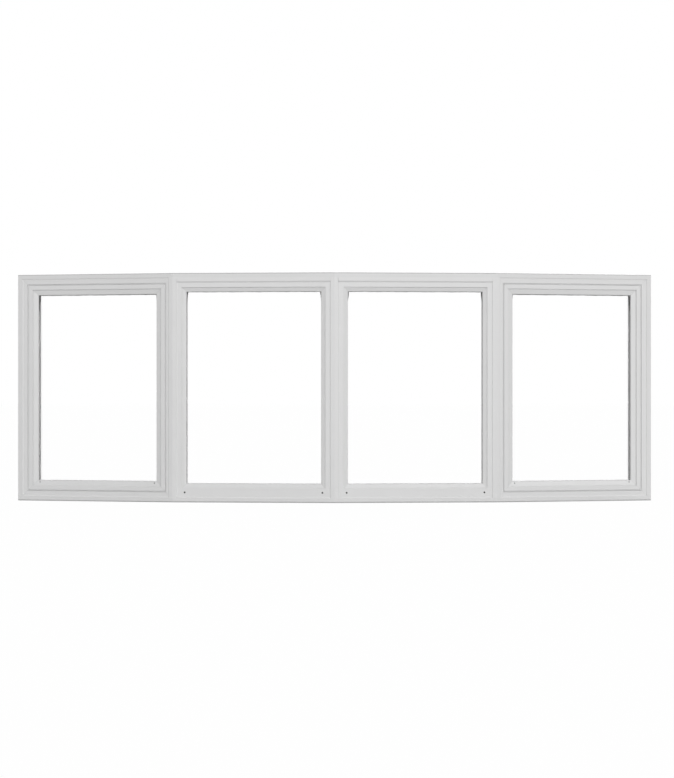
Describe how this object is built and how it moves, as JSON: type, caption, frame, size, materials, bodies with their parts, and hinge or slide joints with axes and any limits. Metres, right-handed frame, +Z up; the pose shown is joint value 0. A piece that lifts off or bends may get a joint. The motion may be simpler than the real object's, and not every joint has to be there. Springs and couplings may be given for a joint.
{
  "type": "bow window",
  "caption": "Shallow bow window: turned glazed lights in white frames between head and seat boards, fixed in the middle and hinged at the ends.",
  "frame": {"origin": "middle of the window's box on the underside of its seat board", "axes": "+X along the window to the right seen from outside, +Y towards the room, +Z up"},
  "size_m": [2.5658, 0.3414, 0.914],
  "materials": {
    "upvc": "white extruded vinyl, satin",
    "board_paint": "white painted board, satin",
    "glazing": "clear float glass",
    "edge_spacer": "grey foam edge spacer",
    "hardware": "white powder coat"
  },
  "bodies": {
    "root": {"drip_strips": "upvc", "frame_1_head": "upvc", "frame_1_jamb_left": "upvc", "frame_1_jamb_right": "upvc", "frame_1_sill": "upvc", "frame_2_head": "upvc", "frame_2_jamb_left": "upvc", "frame_2_jamb_right": "upvc", "frame_2_sill": "upvc", "frame_3_head": "upvc", "frame_3_jamb_left": "upvc", "frame_3_jamb_right": "upvc", "frame_3_sill": "upvc", "frame_4_head": "upvc", "frame_4_jamb_left": "upvc", "frame_4_jamb_right": "upvc", "frame_4_sill": "upvc", "glass_1": "glazing", "glass_2": "glazing", "glass_3": "glazing", "glass_4": "glazing", "glass_spacers": "edge_spacer", "glazing_beads_1": "upvc", "glazing_beads_2": "upvc", "glazing_beads_3": "upvc", "glazing_beads_4": "upvc", "head_board": "board_paint", "jamb_fillers": "board_paint", "mull_post_1": "upvc", "mull_post_2": "upvc", "mull_post_3": "upvc", "operator_left": "hardware", "operator_right": "hardware", "room_joint_trims": "upvc", "sash_1_head": "upvc", "sash_1_jamb_left": "upvc", "sash_1_jamb_right": "upvc", "sash_1_sill": "upvc", "sash_4_head": "upvc", "sash_4_jamb_left": "upvc", "sash_4_jamb_right": "upvc", "sash_4_sill": "upvc", "sash_lock_left": "hardware", "sash_lock_right": "hardware", "seat_board": "board_paint", "side_board_left": "board_paint", "side_board_right": "board_paint"}
  },
  "joints": []
}
